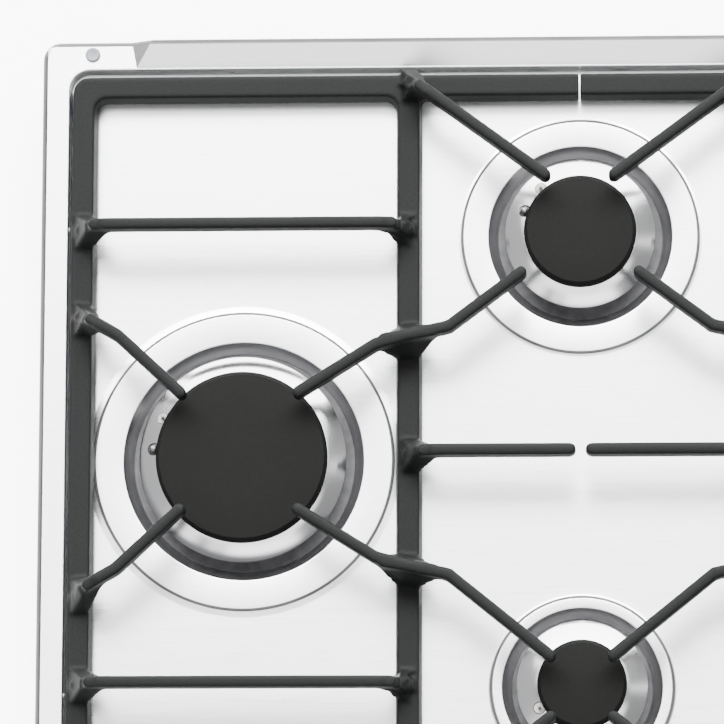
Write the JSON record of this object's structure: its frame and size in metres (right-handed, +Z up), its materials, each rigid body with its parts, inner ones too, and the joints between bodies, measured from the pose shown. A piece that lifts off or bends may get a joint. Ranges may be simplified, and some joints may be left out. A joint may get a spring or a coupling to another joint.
{
  "type": "gas cooktop",
  "caption": "Built-in stainless gas hob with burners of three sizes, a pair of cast iron pan supports and push-and-turn knobs down its right side.",
  "frame": {"origin": "under the middle of the base box, at its lowest face", "axes": "+Z up, +X along the hob to the side with the knobs, +Y to the rear with the raised rim"},
  "size_m": [0.72, 0.5, 0.091],
  "materials": {
    "stainless": "brushed",
    "galvanised": "zinc coated sheet",
    "zinc_screw": "satin",
    "foam": "closed-cell foam",
    "rubber": "matt",
    "lead_rubber": "matt",
    "grey_plastic": "satin",
    "black_plastic": "matt",
    "white_plastic": "matt",
    "ceramic": "glazed ceramic",
    "cast_iron": "matt enamel",
    "black_enamel": "matt enamel",
    "turned_aluminium": "turned and polished",
    "cast_aluminium": "as cast",
    "aluminium": "satin",
    "brass": "machined",
    "copper": "drawn",
    "knob_metal": "satin"
  },
  "bodies": {
    "hob": {"top_plate": "stainless", "base_box": "galvanised", "rim_seal": "foam", "fixing_clamps": "galvanised", "clamp_screws": "zinc_screw", "box_screws": "zinc_screw", "hinge_hole_plugs": "grey_plastic", "burner_screws": "zinc_screw", "igniter_ceramics": "ceramic", "igniter_tips": "zinc_screw", "thermocouples": "brass", "injectors": "brass", "gas_rail": "galvanised", "gas_inlet": "brass", "rail_brackets": "galvanised", "tap_bodies": "aluminium", "tap_covers": "aluminium", "tap_screws": "zinc_screw", "safety_magnets": "brass", "burner_pipes": "aluminium", "pipe_nuts": "brass", "spark_generator": "black_plastic", "ignition_switches": "black_plastic", "terminal_block": "white_plastic", "cable_gland": "black_plastic", "ignition_leads": "lead_rubber", "thermocouple_leads": "copper", "knob_seals": "rubber", "front_burner_cup": "cast_aluminium", "left_burner_cup": "cast_aluminium", "right_burner_cup": "cast_aluminium", "rear_burner_cup": "cast_aluminium"},
    "left_support": {"left_pan_support": "cast_iron", "left_support_feet": "rubber"},
    "right_support": {"right_pan_support": "cast_iron", "right_support_feet": "rubber"},
    "front_crown": {"front_burner_crown": "turned_aluminium"},
    "front_cap": {"front_burner_cap": "black_enamel"},
    "left_crown": {"left_burner_crown": "turned_aluminium"},
    "left_cap": {"left_burner_cap": "black_enamel"},
    "right_crown": {"right_burner_crown": "turned_aluminium"},
    "right_cap": {"right_burner_cap": "black_enamel"},
    "rear_crown": {"rear_burner_crown": "turned_aluminium"},
    "rear_cap": {"rear_burner_cap": "black_enamel"},
    "tap_1": {"tap_plug_1": "brass", "spindle_spring_1": "zinc_screw"},
    "knob_1": {"knob_1": "knob_metal", "tap_spindle_1": "zinc_screw"},
    "tap_2": {"tap_plug_2": "brass", "spindle_spring_2": "zinc_screw"},
    "knob_2": {"knob_2": "knob_metal", "tap_spindle_2": "zinc_screw"},
    "tap_3": {"tap_plug_3": "brass", "spindle_spring_3": "zinc_screw"},
    "knob_3": {"knob_3": "knob_metal", "tap_spindle_3": "zinc_screw"},
    "tap_4": {"tap_plug_4": "brass", "spindle_spring_4": "zinc_screw"},
    "knob_4": {"knob_4": "knob_metal", "tap_spindle_4": "zinc_screw"}
  },
  "joints": [
    {"name": "left_support_lift", "type": "slide", "parent": "hob", "child": "left_support", "axis": [0, 0, 1], "range_m": [0, 0.06]},
    {"name": "right_support_lift", "type": "slide", "parent": "hob", "child": "right_support", "axis": [0, 0, 1], "range_m": [0, 0.06]},
    {"name": "front_crown_lift", "type": "slide", "parent": "hob", "child": "front_crown", "axis": [0, 0, 1], "range_m": [0, 0.005]},
    {"name": "front_cap_lift", "type": "slide", "parent": "front_crown", "child": "front_cap", "axis": [0, 0, 1], "range_m": [0, 0.005]},
    {"name": "left_crown_lift", "type": "slide", "parent": "hob", "child": "left_crown", "axis": [0, 0, 1], "range_m": [0, 0.005]},
    {"name": "left_cap_lift", "type": "slide", "parent": "left_crown", "child": "left_cap", "axis": [0, 0, 1], "range_m": [0, 0.005]},
    {"name": "right_crown_lift", "type": "slide", "parent": "hob", "child": "right_crown", "axis": [0, 0, 1], "range_m": [0, 0.005]},
    {"name": "right_cap_lift", "type": "slide", "parent": "right_crown", "child": "right_cap", "axis": [0, 0, 1], "range_m": [0, 0.005]},
    {"name": "rear_crown_lift", "type": "slide", "parent": "hob", "child": "rear_crown", "axis": [0, 0, 1], "range_m": [0, 0.005]},
    {"name": "rear_cap_lift", "type": "slide", "parent": "rear_crown", "child": "rear_cap", "axis": [0, 0, 1], "range_m": [0, 0.005]},
    {"name": "tap_1_turn", "type": "hinge", "parent": "hob", "child": "tap_1", "pos_m": [0.3084, -0.1275, 0.035], "axis": [0, 0, 1], "range_deg": [0, 210]},
    {"name": "knob_1_push", "type": "slide", "parent": "tap_1", "child": "knob_1", "axis": [0, 0, -1], "range_m": [0, 0.004], "stiffness_N_per_m": 800, "springref_m": -0.004, "deforming": ["spindle_spring_1"]},
    {"name": "tap_2_turn", "type": "hinge", "parent": "hob", "child": "tap_2", "pos_m": [0.3084, -0.0425, 0.035], "axis": [0, 0, 1], "range_deg": [0, 210]},
    {"name": "knob_2_push", "type": "slide", "parent": "tap_2", "child": "knob_2", "axis": [0, 0, -1], "range_m": [0, 0.004], "stiffness_N_per_m": 800, "springref_m": -0.004, "deforming": ["spindle_spring_2"]},
    {"name": "tap_3_turn", "type": "hinge", "parent": "hob", "child": "tap_3", "pos_m": [0.3084, 0.0425, 0.035], "axis": [0, 0, 1], "range_deg": [0, 210]},
    {"name": "knob_3_push", "type": "slide", "parent": "tap_3", "child": "knob_3", "axis": [0, 0, -1], "range_m": [0, 0.004], "stiffness_N_per_m": 800, "springref_m": -0.004, "deforming": ["spindle_spring_3"]},
    {"name": "tap_4_turn", "type": "hinge", "parent": "hob", "child": "tap_4", "pos_m": [0.3084, 0.1275, 0.035], "axis": [0, 0, 1], "range_deg": [0, 210]},
    {"name": "knob_4_push", "type": "slide", "parent": "tap_4", "child": "knob_4", "axis": [0, 0, -1], "range_m": [0, 0.004], "stiffness_N_per_m": 800, "springref_m": -0.004, "deforming": ["spindle_spring_4"]}
  ]
}
